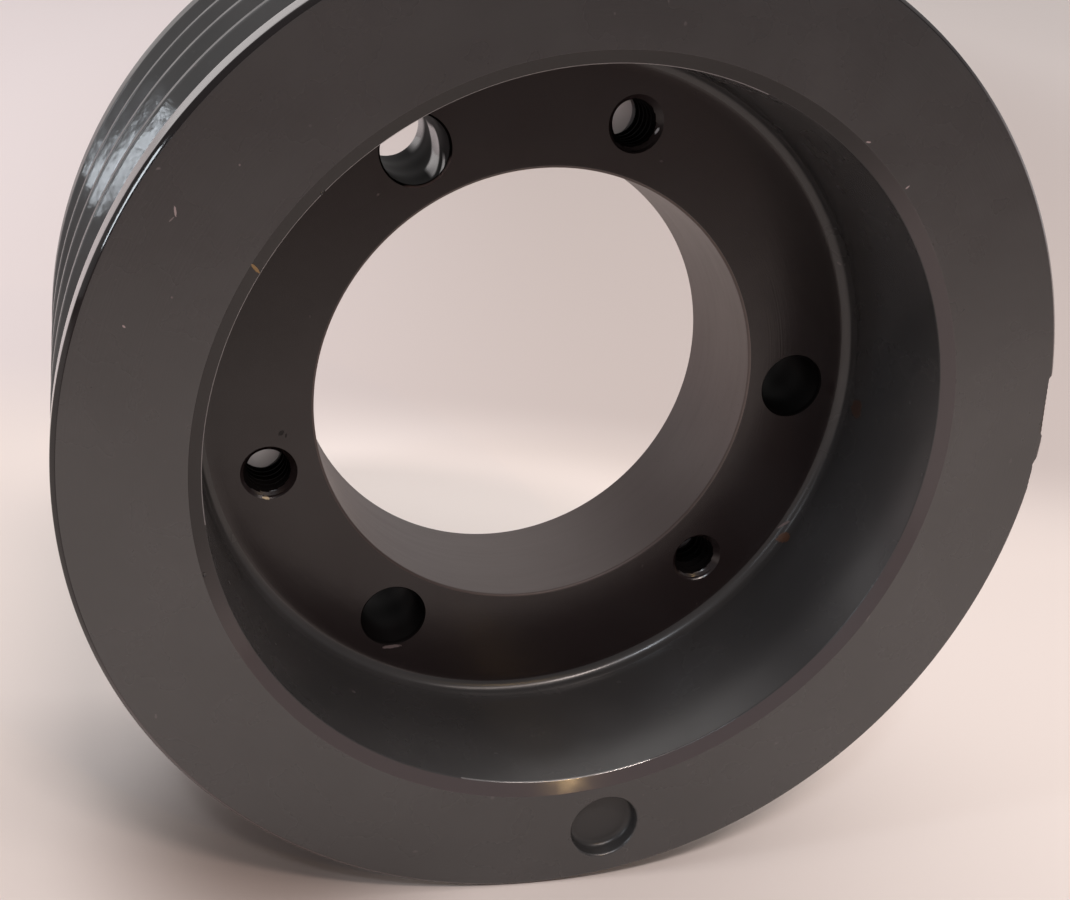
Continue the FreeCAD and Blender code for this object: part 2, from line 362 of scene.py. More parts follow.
def tapped_cutter(number):
    """Countersunk hole with a real right-hand thread that ends inside the clearance bore."""
    centre = tapped_centre(number)
    sides, rows_per_pitch = 48, 16
    start = WEB_FRONT - CLEARANCE - THREAD_PITCH
    rows = math.ceil((THREAD_END + CLEARANCE - start) / THREAD_PITCH) * rows_per_pitch
    vertices = []
    for side in range(sides):
        turn = -2 * math.pi * side / sides  # backwards in bearing, which makes it right-handed
        for row in range(rows + 1):
            depth = start + THREAD_PITCH * (row / rows_per_pitch + side / sides)
            sink = THREAD_MINOR + TAPPED_SINK - (depth - WEB_FRONT)
            radius = max(thread_radius(row / rows_per_pitch % 1), min(sink, THREAD_MAJOR + 3 * TAPPED_SINK))
            vertices.append((centre.x + radius * math.cos(turn), depth, centre.z + radius * math.sin(turn)))
    faces = []
    stride = rows + 1
    for side in range(sides):
        after = (side + 1) % sides
        lift = rows_per_pitch if after == 0 else 0
        for row in range(rows - lift):
            low, high = side * stride + row, after * stride + row + lift
            faces.append((low, low + 1, high + 1, high))
    bottom = [side * stride for side in range(sides)] + list(range(rows_per_pitch, 0, -1))
    last = (sides - 1) * stride
    top = [side * stride + rows for side in range(sides)]
    top += [last + rows - step for step in range(1, rows_per_pitch)] + [last + rows - rows_per_pitch]
    faces.append(tuple(bottom))
    faces.append(tuple(dict.fromkeys(top)))
    return mesh_object(f"tapped_{number}", vertices, faces)


def relief_cutter(number):
    """Smooth clearance bore from the end of the thread to the rear."""
    sections = [
        (RELIEF_RADIUS - RELIEF_CONE, THREAD_END),
        (RELIEF_RADIUS, THREAD_END + RELIEF_CONE),
        (RELIEF_RADIUS, WEB_REAR - BREAK_STRETCH * RELIEF_BREAK),
        (RELIEF_RADIUS + 0.3 * RELIEF_BREAK, WEB_REAR - 0.7 * RELIEF_BREAK),
        (RELIEF_RADIUS + RELIEF_BREAK, WEB_REAR),
        (RELIEF_RADIUS + RELIEF_BREAK, WEB_REAR + CLEARANCE),
    ]
    return plug(f"relief_{number}", sections, tapped_centre(number), 64)


def balance_cutter():
    """Shallow drilled pocket with a paint-softened mouth and an uneven floor."""
    centre = polar(BALANCE_RADIUS, 0, BALANCE_ANGLE)
    floor = FRONT + BALANCE_DEPTH
    sections = [
        (BALANCE_HOLE + 0.4 * MM, FRONT - CLEARANCE),
        (BALANCE_HOLE + 0.4 * MM, FRONT - 0.02 * MM),
        (BALANCE_HOLE + 0.22 * MM, FRONT + 0.04 * MM),
        (BALANCE_HOLE + 0.08 * MM, FRONT + 0.16 * MM),
        (BALANCE_HOLE, FRONT + 0.45 * MM),
        (BALANCE_HOLE, floor - 0.7 * MM),
        (BALANCE_HOLE - 0.1 * MM, floor - 0.35 * MM),
        (BALANCE_HOLE - 0.35 * MM, floor - 0.12 * MM),
        (BALANCE_HOLE - 0.8 * MM, floor),
        (0.4 * MM, floor + 0.12 * MM),
    ]
    return plug("balance_cutter", sections, centre, 96)


def dimple(name, centre, size, flat=1.0):
    """Small ball cutter for a pit or a nick."""
    ball = bmesh.new()
    bmesh.ops.create_icosphere(ball, subdivisions=3, radius=size)
    mesh = bpy.data.meshes.new(name)
    ball.to_mesh(mesh)
    ball.free()
    mesh.transform(Matrix.Translation(centre) @ Matrix.Diagonal((1, flat, 1, 1)))
    made = bpy.data.objects.new(name, mesh)
    bpy.context.scene.collection.objects.link(made)
    return made


# ---------------------------------------------------------------- the knocked rim edge
CHIP = [  # bearing in degrees, depth lost from the outer radius in millimetres
    (-4.5, 0.0),
    (-3.0, 0.05),
    (0.2, 0.16),
    (0.7, 0.28),
    (1.2, 0.2),
    (1.7, 0.02),
    (3.4, 0.0),
    (4.6, 0.05),
    (5.0, 0.2),
    (6.8, 0.3),
    (8.5, 0.36),
    (10.4, 0.34),
    (11.8, 0.3),
    (12.2, 0.22),
    (12.4, 0.0),
]
CHIP_REACH = 3.4 * MM  # how far it runs back over the land
CHIP_BAND = 1.9 * MM  # how far in from the outer radius it can move a vertex
CHIP_ONSET = 0.1 * MM  # depth at which the corner break is used up too


def chip_depth(bearing):
    """Depth of the knock at a bearing from -180 to 180 degrees."""
    for (start, low), (end, high) in zip(CHIP, CHIP[1:]):
        if start <= bearing <= end:
            rough = 0.02 * math.sin(9 * bearing) + 0.008 * math.sin(23 * bearing + 1)
            depth = low + (high - low) * (bearing - start) / (end - start)
            return max(0, depth + rough * min(1, depth * 4)) * MM
    return 0


def knock_rim(piece):
    """Flatten the front outer edge where the wheel was dropped."""
    for vertex in piece.data.vertices:
        x, y, z = vertex.co
        radius = math.hypot(x, z)
        if radius < OUTER - CHIP_BAND:
            continue
        back = (y - FRONT) / CHIP_REACH
        depth = chip_depth(math.degrees(math.atan2(z, x)))
        depth = (depth + CORNER * min(1, depth / CHIP_ONSET)) * max(0, 1 - back) ** 1.2
        limit = OUTER - depth
        if depth and radius > limit:
            vertex.co = (x * limit / radius, y, z * limit / radius)


def knocked_bearings():
    """Even columns, four times as close along the knocked stretch."""
    step = 360 / COLUMNS
    low, high = round(CHIP[0][0] / step) - 1, round(CHIP[-1][0] / step) + 1
    fine = [step * (low + part / 4) for part in range(4 * (high - low))]
    coarse = [step * column for column in range(high, COLUMNS + low)]
    return fine + coarse


# ---------------------------------------------------------------- node helpers
class Nodes:
    """Short way to add and link shader nodes."""

    def __init__(self, tree):
        self.tree = tree
        tree.nodes.clear()

    def add(self, kind, inputs=(), **settings):
        node = self.tree.nodes.new(kind)
        for name, value in settings.items():
            setattr(node, name, value)
        for key, value in dict(inputs).items():
            if isinstance(value, bpy.types.NodeSocket):
                self.tree.links.new(value, node.inputs[key])
            else:
                node.inputs[key].default_value = value
        return node

    def math(self, operation, first, second=0.0, third=0.0):
        inputs = {0: first, 1: second, 2: third}
        return self.add("ShaderNodeMath", inputs, operation=operation).outputs[0]

    def noise(self, vector, scale, detail=3.0, roughness=0.5):
        inputs = {"Vector": vector, "Scale": scale, "Detail": detail, "Roughness": roughness}
        return self.add("ShaderNodeTexNoise", inputs).outputs["Fac"]

    def band(self, value, low, high, bottom=0.0, top=1.0):
        inputs = {0: value, 1: low, 2: high, 3: bottom, 4: top}
        node = self.add("ShaderNodeMapRange", inputs, interpolation_type="SMOOTHSTEP")
        return node.outputs[0]

    def along(self, vector, direction):
        """How far the vector reaches in that direction."""
        inputs = {0: vector, 1: direction}
        return self.add("ShaderNodeVectorMath", inputs, operation="DOT_PRODUCT").outputs["Value"]

    def gap(self, vector, point):
        """Vector from a point to the given place."""
        return self.add("ShaderNodeVectorMath", {0: vector, 1: point}, operation="SUBTRACT").outputs[0]

    def length(self, vector):
        return self.add("ShaderNodeVectorMath", {0: vector}, operation="LENGTH").outputs["Value"]

    def mix(self, factor, first, second):
        node = self.add("ShaderNodeMix", data_type="RGBA")
        for socket, value in ((0, factor), (6, first), (7, second)):
            if isinstance(value, bpy.types.NodeSocket):
                self.tree.links.new(value, node.inputs[socket])
            else:
                node.inputs[socket].default_value = value
        return node.outputs[2]


def grey(value, warmth=0.0):
    """Linear colour of that brightness, redder as warmth grows."""
    return (value * (1 + warmth), value * (0.95 - 0.3 * warmth), value * (0.97 - 0.3 * warmth), 1)


def streak(nodes, place, point, towards, length, width, noise):
    """Mask of a ragged elongated fleck on a face square to the axle."""
    along = Vector(towards).normalized()
    over = along.cross(Vector((0, 1, 0)))
    offset = nodes.gap(place, point)
    axes = ((along, length), (over, width), (Vector((0, 1, 0)), length))
    parts = {index: nodes.along(offset, axis / size) for index, (axis, size) in enumerate(axes)}
    gap = nodes.length(nodes.add("ShaderNodeCombineXYZ", parts).outputs[0])
    gap = nodes.math("MULTIPLY_ADD", noise, 0.9, gap)  # the noise eats into the rim of the fleck
    return nodes.band(gap, 1.25, 1.5, 1.0, 0.0)


# ---------------------------------------------------------------- paint and bare iron
UP, RIGHT, RISING, FALLING = (0, 0, 1), (1, 0, 0), (1, 0, 1), (1, 0, -1)
LOW_RIGHT = (0.6, 0, -0.8)
# pale colour of chipped paint on the rim, also used for a painted highlight in a drilled hole's mouth
PALE_CHIP_AND_GLINT = (0.26, 0.20, 0.20, 1)
# faint colour of chipped paint, also used for a painted highlight on a drilled hole's mouth
FAINT_CHIP_AND_GLINT = (0.11, 0.085, 0.085, 1)
BRASS_FLECK = (0.27, 0.17, 0.075, 1)
GLINT = (0.55, 0.58, 0.62, 1)
GOLD_GLINT = (0.55, 0.46, 0.30, 1)
DRILLED_IRON = (0.5, 0.46, 0.45, 1)
# near-black painted shade that stands in for a small pit
PAINTED_PIT_SHADE = (0.006, 0.004, 0.004, 1)
BARE_IRON = (0.035, 0.027, 0.022, 1)
RUST = (0.06, 0.026, 0.013, 1)
FAINT_RUST = (0.04, 0.021, 0.015, 1)


def paint_material(name, tone, warmth, roughness, turning, marks=(), index=1.5, painted_reflection_tone=None):
    """Sprayed near-black enamel over iron.

    turning is the height of the lathe marks that show through on faces square to the axle.
    marks are (point, direction, half length, half width, colour) patches where the paint is
    chipped, stained or gone, and patches of painted highlight and painted shade.
    The last argument is the lighter tone of a painted reflection low and right on the rim.
    """
    material = bpy.data.materials.new(name)
    material.use_nodes = True
    nodes = Nodes(material.node_tree)
    place = nodes.add("ShaderNodeTexCoord").outputs["Object"]
    parts = nodes.add("ShaderNodeSeparateXYZ", {0: place}).outputs
    radius = nodes.length(nodes.add("ShaderNodeCombineXYZ", {0: parts[0], 2: parts[2]}).outputs[0])
    normal = nodes.add("ShaderNodeNewGeometry").outputs["True Normal"]
    facing = nodes.add("ShaderNodeSeparateXYZ", {0: normal}).outputs[1]
    square = nodes.band(nodes.math("ABSOLUTE", facing), 0.97, 0.995)

    cloud = nodes.noise(place, 55, 4)
    grain = nodes.noise(place, 1900, 3, 0.6)
    orange_peel = nodes.noise(place, 620, 2, 0.45)
    rings = nodes.add(
        "ShaderNodeTexNoise",
        {"W": nodes.math("MULTIPLY", radius, 5200.0), "Scale": 1.0, "Detail": 3.0},
        noise_dimensions="1D",
    ).outputs["Fac"]

    dark, light = grey(tone * 0.88, warmth), grey(tone * 1.1, warmth * 0.8)
    colour = nodes.mix(nodes.band(cloud, 0.3, 0.72), dark, light)
    colour = nodes.mix(nodes.band(grain, 0.62, 0.8, 0.0, 0.35), colour, grey(tone * 1.5, warmth))
    dust = nodes.noise(place, 760, 1, 0.4)
    patch = nodes.band(nodes.noise(place, 90, 2), 0.45, 0.7)
    specks = nodes.math("MULTIPLY", nodes.band(dust, 0.775, 0.81), patch)
    colour = nodes.mix(nodes.math("MULTIPLY", specks, 0.35), colour, grey(0.2, 0.1))

    shine = nodes.band(nodes.noise(place, 160, 3), 0.3, 0.7, roughness * 0.9, roughness * 1.12)
    # painted reflection: the paint turns lighter and a little rougher low and right on the rim
    if painted_reflection_tone:
        low = nodes.band(nodes.along(place, LOW_RIGHT), -20 * MM, 0.0)
        colour = nodes.mix(low, colour, grey(painted_reflection_tone, warmth))
        shine = nodes.math("MULTIPLY_ADD", low, 0.05, shine)
    height = nodes.math("MULTIPLY", orange_peel, 0.5)
    height = nodes.math("MULTIPLY_ADD", grain, 0.16, height)
    height = nodes.math("MULTIPLY_ADD", nodes.math("MULTIPLY", rings, square), turning, height)
    for point, towards, length, width, tint in marks:
        ragged = nodes.noise(place, 1.2 / width, 2, 0.6)
        mask = streak(nodes, place, point, towards, length, width, ragged)
        colour = nodes.mix(mask, colour, tint)
        shine = nodes.math("MAXIMUM", shine, nodes.math("MULTIPLY", mask, 0.6))
        height = nodes.math("MULTIPLY_ADD", mask, -0.6, height)
    bump = nodes.add("ShaderNodeBump", {"Height": height, "Distance": 0.03 * MM, "Strength": 0.5})
    shader = nodes.add("ShaderNodeBsdfPrincipled", {
        "Base Color": colour,
        "Roughness": shine,
        "Normal": bump.outputs[0],
        "IOR": index,
    })
    nodes.add("ShaderNodeOutputMaterial", {0: shader.outputs[0]})
    return material


def hole_material():
    """Thin dark paint in the drilled holes; one hole has glossy runs and a pale painted highlight low in
    its mouth.
    """
    material = bpy.data.materials.new("hole_enamel")
    material.use_nodes = True
    nodes = Nodes(material.node_tree)
    place = nodes.add("ShaderNodeTexCoord").outputs["Object"]
    glossy_hole = drilled_centre(1)
    offset = nodes.gap(place, glossy_hole)

    def on_side(towards, low, high):
        """Mask of one side of the glossy hole, from low to high as shares of its radius."""
        side = nodes.along(offset, Vector(towards).normalized())
        near_hole = nodes.band(side, 4.4 * MM, 5.0 * MM, 1.0, 0.0)
        reached = nodes.band(side, low * DRILLED_RADIUS, high * DRILLED_RADIUS)
        return nodes.math("MULTIPLY", near_hole, reached)

    def between(value, start, full, fade, end, top=1.0):
        """Mask of a stretch behind the hub's front face, in millimetres."""
        rise = nodes.band(value, WEB_FRONT + start * MM, WEB_FRONT + full * MM)
        fall = nodes.band(value, WEB_FRONT + fade * MM, WEB_FRONT + end * MM, top, 0.0)
        return nodes.math("MULTIPLY", rise, fall)

    depth = nodes.add("ShaderNodeSeparateXYZ", {0: place}).outputs[1]
    height = nodes.add("ShaderNodeSeparateXYZ", {0: offset}).outputs[2]
    slanted = nodes.math("MULTIPLY_ADD", height, -1.4, depth)
    run = nodes.math("MULTIPLY", between(slanted, 4.9, 6.0, 8.4, 9.8), on_side((1, 0, -0.25), 0.76, 0.9))
    exit_run = nodes.band(depth, WEB_FRONT + 12.2 * MM, WEB_FRONT + 14.5 * MM, 0.0, 0.85)
    exit_run = nodes.math("MULTIPLY", exit_run, on_side((1, 0, 0.1), 0.55, 0.95))
    mouth_run = between(slanted, 2.6, 3.0, 3.6, 4.2, 0.7)
    mouth_run = nodes.math("MULTIPLY", mouth_run, on_side((0.75, 0, -0.65), 0.8, 0.95))
    run = nodes.math("MAXIMUM", run, nodes.math("MAXIMUM", exit_run, mouth_run))
    # painted highlight: a pale crescent low and right just inside the glossy hole's mouth
    mouth_highlight = nodes.band(depth, WEB_FRONT + 0.1 * MM, WEB_FRONT + 0.3 * MM, 1.0, 0.0)
    mouth_highlight = nodes.math("MULTIPLY", mouth_highlight, on_side(LOW_RIGHT, 0.65, 0.85))
    shader = nodes.add("ShaderNodeBsdfPrincipled", {
        "Base Color": nodes.mix(nodes.math("MULTIPLY", mouth_highlight, 0.6), grey(0.003, 0.1), PALE_CHIP_AND_GLINT),
        "Roughness": nodes.band(run, 0.0, 1.0, 0.5, 0.14),
        "Specular IOR Level": nodes.band(run, 0.0, 1.0, 0.01, 1.0),
        "IOR": 1.9,
    })
    nodes.add("ShaderNodeOutputMaterial", {0: shader.outputs[0]})
    return material


def plain_material(name, colour, roughness, level):
    """One even surface."""
    material = bpy.data.materials.new(name)
    material.use_nodes = True
    nodes = Nodes(material.node_tree)
    shader = nodes.add("ShaderNodeBsdfPrincipled", {
        "Base Color": colour,
        "Roughness": roughness,
        "Specular IOR Level": level,
    })
    nodes.add("ShaderNodeOutputMaterial", {0: shader.outputs[0]})
    return material


IRON_DARK = (0.118, 0.092, 0.086, 1)
IRON_LIGHT = (0.138, 0.111, 0.104, 1)
IRON_SCORED = (0.09, 0.072, 0.066, 1)
IRON_GRAPHITE = (0.05, 0.045, 0.04, 1)
IRON_DARKER_BELOW = (0.035, 0.024, 0.023, 1)


def bore_material():
    """Turned bare iron: fine feed marks round the bore, slightly browned and darker towards the bottom."""
    material = bpy.data.materials.new("bare_turned_iron")
    material.use_nodes = True
    nodes = Nodes(material.node_tree)
    place = nodes.add("ShaderNodeTexCoord").outputs["Object"]
    parts = nodes.add("ShaderNodeSeparateXYZ", {0: place}).outputs
    bearing = nodes.math("ARCTAN2", parts[2], parts[0])
    scored = nodes.add("ShaderNodeCombineXYZ", {
        0: nodes.math("MULTIPLY", bearing, 2.0),
        1: nodes.math("MULTIPLY", parts[1], 900.0),
    }).outputs[0]
    streaks = nodes.noise(scored, 1.0, 4, 0.6)
    feed = nodes.add(
        "ShaderNodeTexNoise",
        {"W": nodes.math("MULTIPLY", parts[1], 6500.0), "Scale": 1.0, "Detail": 2.0},
        noise_dimensions="1D",
    ).outputs["Fac"]
    cloud = nodes.noise(place, 60, 3)
    colour = nodes.mix(nodes.band(cloud, 0.3, 0.7), IRON_DARK, IRON_LIGHT)
    colour = nodes.mix(nodes.band(streaks, 0.5, 0.75, 0.0, 0.2), colour, IRON_SCORED)
    graphite = nodes.noise(place, 2400, 2)
    colour = nodes.mix(nodes.band(graphite, 0.66, 0.74, 0.0, 0.4), colour, IRON_GRAPHITE)
    # darker towards the bottom of the bore
    darker_below = nodes.band(parts[2], -26 * MM, 8 * MM, 0.78, 0.0)
    colour = nodes.mix(darker_below, colour, IRON_DARKER_BELOW)
    shine = nodes.band(streaks, 0.3, 0.7, 0.43, 0.47)
    height = nodes.math("MULTIPLY_ADD", feed, 0.7, nodes.math("MULTIPLY", graphite, 0.2))
    bump = nodes.add("ShaderNodeBump", {"Height": height, "Distance": 0.02 * MM, "Strength": 0.5})
    shader = nodes.add("ShaderNodeBsdfPrincipled", {
        "Base Color": colour,
        "Roughness": shine,
        "Normal": bump.outputs[0],
        "Metallic": 0.3,
    })
    nodes.add("ShaderNodeOutputMaterial", {0: shader.outputs[0]})
    return material


RIM_MARKS = [  # where, direction, half length, half width, colour
    (polar(52.55 * MM, FRONT, 151.95), (-0.15, 0, 1), 0.55 * MM, 0.11 * MM, PALE_CHIP_AND_GLINT),
    (polar(52.45 * MM, FRONT, 152.85), (1, 0, 1.1), 0.36 * MM, 0.07 * MM, FAINT_CHIP_AND_GLINT),
    (polar(44.4 * MM, FRONT, 47.5), RISING, 0.3 * MM, 0.09 * MM, PALE_CHIP_AND_GLINT),
    (polar(44.2 * MM, FRONT, 57.0), RIGHT, 0.3 * MM, 0.1 * MM, PALE_CHIP_AND_GLINT),
    (polar(52.3 * MM, FRONT, 165.3), FALLING, 0.2 * MM, 0.1 * MM, PALE_CHIP_AND_GLINT),
    (polar(49.1 * MM, FRONT, 160.5), UP, 0.12 * MM, 0.1 * MM, FAINT_CHIP_AND_GLINT),
    (polar(50.3 * MM, FRONT, 144.1), UP, 0.12 * MM, 0.1 * MM, FAINT_CHIP_AND_GLINT),
    (polar(56.6 * MM, FRONT + 0.3 * MM, 8.8), UP, 2.2 * MM, 0.45 * MM, BARE_IRON),
    (polar(56.6 * MM, FRONT + 0.3 * MM, 6.4), UP, 1.8 * MM, 0.5 * MM, BARE_IRON),
    (polar(56.8 * MM, FRONT + 0.3 * MM, 0.9), UP, 0.9 * MM, 0.4 * MM, BARE_IRON),
]
LIP_MARKS = [
    (polar(43.2 * MM, FRONT + 0.45 * MM, 153.1), (0.75, 0, -0.85), 0.95 * MM, 0.17 * MM, BRASS_FLECK),
]
RECESS_MARKS = [
    (polar(41.9 * MM, WEB_FRONT - 1.0 * MM, -26.8), RISING, 1.2 * MM, 0.4 * MM, RUST),
    (polar(41.9 * MM, WEB_FRONT - 3.5 * MM, 1.0), UP, 1.3 * MM, 0.8 * MM, FAINT_RUST),
    (polar(41.2 * MM, WEB_FRONT - 0.5 * MM, -25.0), RISING, 1.0 * MM, 0.16 * MM, FAINT_CHIP_AND_GLINT),
]
WEB_MARKS = [
    # painted highlights: two pale glints on one tapped hole's countersink and a gold glint on another's
    (polar(33.7 * MM, WEB_FRONT + 0.4 * MM, 74.7), (0.45, 0, 1), 0.42 * MM, 0.11 * MM, GLINT),
    (polar(34.2 * MM, WEB_FRONT + 0.4 * MM, 73.9), (0.45, 0, 1), 0.42 * MM, 0.13 * MM, GLINT),
    (polar(35.4 * MM, WEB_FRONT + 0.4 * MM, -156.1), (1, 0, -0.15), 0.6 * MM, 0.17 * MM, GOLD_GLINT),
    # painted highlight: a pinkish crescent on the low edge of a drilled hole's mouth
    (polar(38.1 * MM, WEB_FRONT + 0.1 * MM, -112.9), (1, 0, 0.1), 1.3 * MM, 0.25 * MM, FAINT_CHIP_AND_GLINT),
    # painted shade: near-black spots on the web face stand in for a small pit
    (polar(31.8 * MM, WEB_FRONT, -169.4), RISING, 0.42 * MM, 0.3 * MM, PAINTED_PIT_SHADE),
    (polar(31.3 * MM, WEB_FRONT, -168.6), UP, 0.3 * MM, 0.12 * MM, PAINTED_PIT_SHADE),
]


# ---------------------------------------------------------------- the pieces
FACE, GROOVE, RECESS, LAND, EDGE, POCKET, LIP_GLINT = range(7)  # order of a rim piece's materials
WEB_FLAT, BORE, DRILLED, THREAD, RELIEF = range(5)  # order of the hub's materials


def make_pieces():
    face_paint = paint_material("rim_enamel", 0.034, -0.01, 0.28, 0.45, RIM_MARKS, 1.7)
    groove_paint = paint_material("groove_enamel", 0.075, -0.08, 0.07, 0.0)
    dull_paint = paint_material("land_enamel", 0.03, -0.03, 0.34, 0.0)
    land_paint = paint_material("wiped_land_enamel", 0.09, 0.0, 0.12, 0.0, (), 2.6)
    # the last argument paints a lighter, painted reflection low and right on the lip
    edge_paint = paint_material("edge_enamel", 0.011, 0.1, 0.07, 0.0, LIP_MARKS, 1.42, 0.062)
    # pale paint for the painted highlight along the lip's inner edge
    lip_glint_paint = paint_material("lip_glint_enamel", 0.24, 0.0, 0.3, 0.0)
    recess_paint = paint_material("recess_enamel", 0.036, -0.02, 0.25, 0.1, RECESS_MARKS)
    web_paint = paint_material("web_enamel", 0.011, 0.3, 0.24, 0.3, WEB_MARKS + RECESS_MARKS)
    hole_paint = hole_material()
    thread_iron = plain_material("oily_thread", grey(0.003, 0.1), 0.6, 0.015)
    relief_iron = plain_material("dull_drilled_iron", DRILLED_IRON, 0.55, 0.5)
    bore_iron = bore_material()
    even = even_bearings()
    paints = (face_paint, groove_paint, recess_paint, land_paint, edge_paint, dull_paint, lip_glint_paint)
    rear_paints = (face_paint, groove_paint, recess_paint, dull_paint, edge_paint, dull_paint, dull_paint)

    front = lathe("front_rim_flange", flange_outline(-1, web_low.y), knocked_bearings())
    knock_rim(front)
    cut(front, [
        balance_cutter(),
        dimple("lip_nick", polar(42.55 * MM, FRONT + 0.95 * MM, 140.1), 0.3 * MM, 0.8),
        dimple("lip_nick_low", polar(43.6 * MM, FRONT + 0.1 * MM, -162.1), 0.3 * MM, 0.6),
    ])
    finish_piece(front, "front_flange")
    paint_by_place(front, paints)

    rear = lathe("rear_rim_flange", flange_outline(1, web_high.y), even)
    finish_piece(rear, "rear_flange")
    paint_by_place(rear, rear_paints)

    for node in sorted(name for name in frame["nodes"] if name.startswith("groove_land")):
        land = lathe(node.replace("groove_land", "belt_land"), land_outline(node), even)
        finish_piece(land, node, groove_paint)
        land.data.materials.append(dull_paint)
        for face in land.data.polygons:
            on_top = math.hypot(face.center.x, face.center.z) > OUTER - LAND_ROUND
            face.material_index = int(on_top and abs(face.normal.y) < 0.1)

    rim = lathe("rim_tube", rim_outline(), even)
    finish_piece(rim, "rim")
    paint_by_place(rim, paints)

    web = lathe("web_ring", web_outline(), even)
    finish_piece(web, "web", web_paint)
    web.data.materials.append(recess_paint)
    for face in web.data.polygons:
        face.material_index = int(abs(face.normal.y) < 0.99)

    hub = lathe("bored_hub", hub_outline(), even)
    cut(hub, [drilled_cutter(number) for number in range(HOLES_PER_PATTERN)])
    cut(hub, [tapped_cutter(number) for number in range(HOLES_PER_PATTERN)])
    cut(hub, [relief_cutter(number) for number in range(HOLES_PER_PATTERN)])
    finish_piece(hub, "hub", web_paint)
    for material in (bore_iron, hole_paint, thread_iron, relief_iron):
        hub.data.materials.append(material)
    for face in hub.data.polygons:
        face.material_index = hub_paint(face)
        if abs(face.normal.y) > 0.999:
            face.use_smooth = False


def hub_paint(face):
    """Which of the hub's materials a face wears."""
    radius = math.hypot(face.center.x, face.center.z)
    slope = abs(face.normal.y)
    depth = face.center.y
    across = min(gap_across(face.center, tapped_centre(number)) for number in range(HOLES_PER_PATTERN))
    if radius < BORE_LARGE + BORE_ROUND and slope < 0.95:
        return BORE
    if across < RELIEF_RADIUS + RELIEF_BREAK and depth > THREAD_END - RELIEF_CONE and slope < 0.9:
        return RELIEF
    if across < THREAD_MINOR + TAPPED_SINK - 0.1 * MM and depth > WEB_FRONT + THREAD_PAINT_START:
        return THREAD
    if slope < 0.9 and radius < HUB_RADIUS - 0.1 * MM and across > 5 * MM:
        return DRILLED
    return WEB_FLAT


def gap_across(first, second):
    """Distance between two points, seen along the axle."""
    return math.hypot(first.x - second.x, first.z - second.z)


def paint_by_place(piece, paints):
    """Give a rim piece its face, groove, recess, land, edge, pocket and lip-glint paints by place."""
    for material in paints:
        piece.data.materials.append(material)
    for face in piece.data.polygons:
        face.material_index = rim_paint(face)


def rim_paint(face):
    """Which of a rim piece's materials a face wears."""
    x, y, z = face.center
    radius = math.hypot(x, z)
    outwards = (face.normal.x * x + face.normal.z * z) / radius
    square = abs(face.normal.y)
    end = REAR - abs(y)  # distance in from the nearer rim face
    pocket = polar(BALANCE_RADIUS, 0, BALANCE_ANGLE)
    rise, reach = LIP_LINE
    if gap_across(face.center, pocket) < BALANCE_HOLE + 0.1 * MM and y < FRONT + BALANCE_DEPTH + MM:
        return POCKET
    if radius < WALL + rise and abs(end - LIP_DEPTH) < reach and outwards < 0:
        if z < 0 and -10 * MM < x < 14 * MM:
            return LAND  # the glossy stretch that catches the light
        # painted highlight: pale paint on the line where the lip meets the wall, on the left and top
        return LIP_GLINT if x < 12 * MM and z > -8 * MM else RECESS
    if radius < WALL + LIP_WIDTH + LIP_ROUND and square < 0.97 and end < LIP_DEPTH:
        return EDGE
    if radius < WALL + 0.2 * MM and outwards < 0:
        return RECESS
    if radius > OUTER - CORNER - EDGE_ROUND and end < CORNER + EDGE_ROUND:
        return EDGE if square < 0.97 else FACE
    if radius > OUTER - KNOCKED_BAND and square < 0.6 and end < LAND_END:
        return LAND
    if radius > ROOT - MM and end > CORNER + 0.1 * MM and outwards > 0:
        return GROOVE
    return FACE


# ---------------------------------------------------------------- stage, light and camera
FLOOR = -OUTER
FLOOR_SIZE = 60.0
NEAR_FLOOR = (0.78, 0.71, 0.68, 1)
SHADED_FLOOR = (0.72, 0.65, 0.615, 1)
BACKDROP_LEFT = (0.75, 0.69, 0.70, 1)
BACKDROP_MIDDLE = (0.53, 0.47, 0.45, 1)
BACKDROP_RIGHT = (0.68, 0.62, 0.60, 1)
LIT_FLOOR = (0.93, 0.86, 0.82, 1)
PAINTED_FRONT_SHADE = (0.12, 0.075, 0.07, 1)
CONTACT_SHADE = (0.16, 0.10, 0.075, 1)
CONTACT_PLACE = (-0.03, -0.014, 0)
LIT_PLACE = (0.03, 0.1, 0)
BACK_EDGE = 0.122  # distance behind the wheel's middle at which the table gives way to the backdrop
BACK_TURN = math.radians(-12.5)
EDGE_BLUR = 0.035


